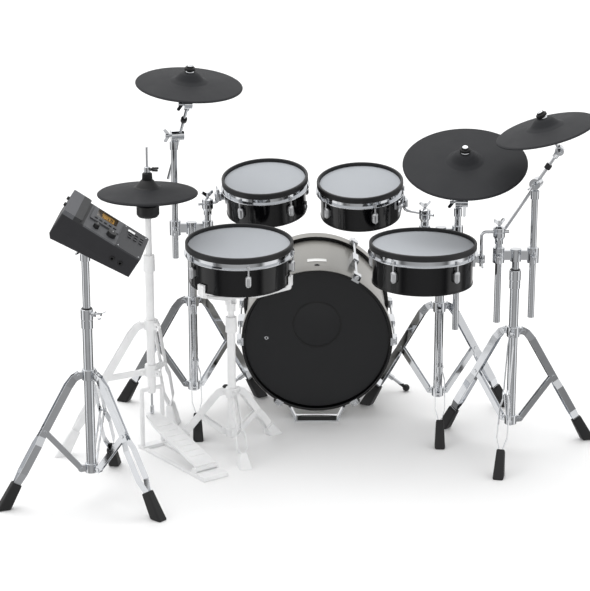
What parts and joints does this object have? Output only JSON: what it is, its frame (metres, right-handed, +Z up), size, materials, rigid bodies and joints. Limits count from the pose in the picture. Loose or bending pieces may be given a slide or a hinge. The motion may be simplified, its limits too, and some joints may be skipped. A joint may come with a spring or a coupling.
{
  "type": "electronic drum kit",
  "caption": "Electronic drum kit: mesh-head drums, rubber cymbal pads and a bass drum on chrome tripod stands, with a hi-hat pedal and a sound module.",
  "frame": {"origin": "on the floor under the middle of the bass drum's batter head, on the underside of its pedal plate", "axes": "+X to the drummer's right, +Y away from the drummer, +Z up"},
  "size_m": [1.8175, 1.2331, 1.1683],
  "materials": {
    "black_lacquer": "high gloss black lacquer",
    "mesh_head": "woven mesh",
    "chrome": "polished",
    "rim_rubber": "matte",
    "foot_rubber": "matte",
    "cymbal_rubber": "matte with fine rings",
    "silver_wrap": "metallic silver wrap",
    "black_film": "satin film",
    "foam": "soft foam",
    "pale_coat": "pale satin coat",
    "black_plastic": "fine grain",
    "module_plastic": "fine grain",
    "screen": "glossy",
    "button_plastic": "fine grain"
  },
  "bodies": {
    "kit": {"bass_shell": "silver_wrap", "bass_heads": "black_film", "bass_hoops": "black_lacquer", "bass_claws": "chrome", "bass_kick": "foam", "bass_pedal_plate": "chrome", "stand_tubes": "chrome", "stand_collars": "chrome", "stand_legs": "chrome", "stand_feet": "foot_rubber", "hihat_stand": "pale_coat", "hihat_pedal_frame": "pale_coat", "hihat_controller": "black_plastic", "snare_stand": "pale_coat"},
    "spur_left": {"spur_left": "chrome"},
    "spur_right": {"spur_right": "chrome"},
    "left_mast": {"left_mast": "chrome"},
    "centre_mast": {"centre_mast": "chrome"},
    "right_mast": {"right_mast": "chrome"},
    "crash_left_boom": {"crash_left_boom": "chrome"},
    "ride_boom": {"ride_boom": "chrome"},
    "crash_right_boom": {"crash_right_boom": "chrome"},
    "crash_left": {"crash_left_pad": "cymbal_rubber"},
    "ride": {"ride_pad": "cymbal_rubber"},
    "crash_right": {"crash_right_pad": "cymbal_rubber"},
    "snare": {"snare_basket": "pale_coat", "snare_shell": "black_lacquer", "snare_head": "mesh_head", "snare_hoop": "chrome", "snare_rim": "rim_rubber", "snare_lugs": "chrome"},
    "hihat_pedal": {"hihat_footboard": "pale_coat"},
    "hihat": {"hihat_rod": "pale_coat", "hihat_pad": "cymbal_rubber"},
    "module_mast": {"module_mast": "chrome"},
    "module": {"module_case": "module_plastic", "module_screen": "screen", "module_mount": "chrome"},
    "module_buttons": {"module_buttons": "button_plastic"},
    "module_dial": {"module_dial": "black_plastic"},
    "module_volume": {"module_volume": "black_plastic"},
    "tom_left": {"tom_left_shell": "black_lacquer", "tom_left_head": "mesh_head", "tom_left_hoop": "chrome", "tom_left_rim": "rim_rubber", "tom_left_lugs": "chrome", "tom_left_arm": "chrome"},
    "tom_right": {"tom_right_shell": "black_lacquer", "tom_right_head": "mesh_head", "tom_right_hoop": "chrome", "tom_right_rim": "rim_rubber", "tom_right_lugs": "chrome", "tom_right_arm": "chrome"},
    "floor_tom": {"floor_tom_shell": "black_lacquer", "floor_tom_head": "mesh_head", "floor_tom_hoop": "chrome", "floor_tom_rim": "rim_rubber", "floor_tom_lugs": "chrome", "floor_tom_arm": "chrome"}
  },
  "joints": [
    {"name": "left_mast_height", "type": "slide", "parent": "kit", "child": "left_mast", "axis": [0, 0, 1], "range_m": [-0.02, 0.08]},
    {"name": "centre_mast_height", "type": "slide", "parent": "kit", "child": "centre_mast", "axis": [0, 0, 1], "range_m": [-0.02, 0.02]},
    {"name": "right_mast_height", "type": "slide", "parent": "kit", "child": "right_mast", "axis": [0, 0, 1], "range_m": [-0.01, 0.02]},
    {"name": "module_mast_height", "type": "slide", "parent": "kit", "child": "module_mast", "axis": [0, 0, 1], "range_m": [-0.05, 0.1]},
    {"name": "tom_left_tilt", "type": "hinge", "parent": "left_mast", "child": "tom_left", "pos_m": [-0.348, 0.074, 0.702], "axis": [-0.9848, -0.1522, -0.084], "range_deg": [-12, 12]},
    {"name": "tom_right_tilt", "type": "hinge", "parent": "centre_mast", "child": "tom_right", "pos_m": [0.338, 0.01, 0.684], "axis": [0.8945, -0.4426, -0.0629], "range_deg": [-12, 12]},
    {"name": "floor_tom_tilt", "type": "hinge", "parent": "right_mast", "child": "floor_tom", "pos_m": [0.546, -0.253, 0.694], "axis": [0.9987, 0.0506, 0.0009], "range_deg": [-12, 12]},
    {"name": "crash_left_boom_tilt", "type": "hinge", "parent": "left_mast", "child": "crash_left_boom", "pos_m": [-0.452, 0.074, 0.922], "axis": [0.9642, 0.2651, 0], "range_deg": [-20, 15]},
    {"name": "crash_left_rock", "type": "hinge", "parent": "crash_left_boom", "child": "crash_left", "pos_m": [-0.39148, -0.05773, 1.14157], "axis": [1, 0, 0], "range_deg": [-12, 12], "stiffness_Nm_per_rad": 3},
    {"name": "ride_boom_tilt", "type": "hinge", "parent": "centre_mast", "child": "ride_boom", "pos_m": [0.442, 0.01, 0.722], "axis": [0.9962, -0.0876, 0], "range_deg": [-3, 8]},
    {"name": "ride_rock", "type": "hinge", "parent": "ride_boom", "child": "ride", "pos_m": [0.44535, -0.16274, 0.91448], "axis": [1, 0, 0], "range_deg": [-6, 6], "stiffness_Nm_per_rad": 3},
    {"name": "crash_right_boom_tilt", "type": "hinge", "parent": "right_mast", "child": "crash_right_boom", "pos_m": [0.65, -0.253, 0.842], "axis": [0.3641, 0.9313, 0], "range_deg": [-10, 15]},
    {"name": "crash_right_rock", "type": "hinge", "parent": "crash_right_boom", "child": "crash_right", "pos_m": [0.66622, -0.26408, 1.04178], "axis": [1, 0, 0], "range_deg": [-6, 6], "stiffness_Nm_per_rad": 3},
    {"name": "snare_tilt", "type": "hinge", "parent": "kit", "child": "snare", "pos_m": [-0.266, -0.25, 0.49], "axis": [0.7, 0.7141, 0], "range_deg": [-8, 8]},
    {"name": "hihat_pedal_press", "type": "hinge", "parent": "kit", "child": "hihat_pedal", "pos_m": [-0.34031, -0.47473, 0.02], "axis": [0.8039, 0.5948, 0], "range_deg": [-3.5, 0], "stiffness_Nm_per_rad": 120, "springref_deg": 3.44},
    {"name": "hihat_close", "type": "slide", "parent": "kit", "child": "hihat", "axis": [0, 0, 1], "range_m": [-0.018, 0]},
    {"name": "spur_left_fold", "type": "hinge", "parent": "kit", "child": "spur_left", "pos_m": [-0.18604, 0.24665, 0.11155], "axis": [-0.6857, -0.0508, 0.7261], "range_deg": [-60, 0]},
    {"name": "spur_right_fold", "type": "hinge", "parent": "kit", "child": "spur_right", "pos_m": [0.18604, 0.24665, 0.11155], "axis": [-0.6857, 0.0508, -0.7261], "range_deg": [-60, 0]},
    {"name": "module_tilt", "type": "hinge", "parent": "module_mast", "child": "module", "pos_m": [-0.662, -0.66, 0.764], "axis": [0.0946, 0.9848, 0.1456], "range_deg": [-20, 12]},
    {"name": "module_dial_turn", "type": "hinge", "parent": "module", "child": "module_dial", "pos_m": [-0.58348, -0.71612, 0.80412], "axis": [0.5364, -0.1736, 0.8259], "continuous": true},
    {"name": "module_volume_turn", "type": "hinge", "parent": "module", "child": "module_volume", "pos_m": [-0.62411, -0.72006, 0.82968], "axis": [0.5364, -0.1736, 0.8259], "range_deg": [-140, 140]},
    {"name": "module_buttons_press", "type": "slide", "parent": "module", "child": "module_buttons", "axis": [0.5364, -0.1736, 0.8259], "range_m": [-0.0015, 0], "stiffness_N_per_m": 400}
  ],
  "couplings": [
    {"joint": "hihat_close", "follows": "hihat_pedal_press", "m_per_rad": 0.29466}
  ]
}
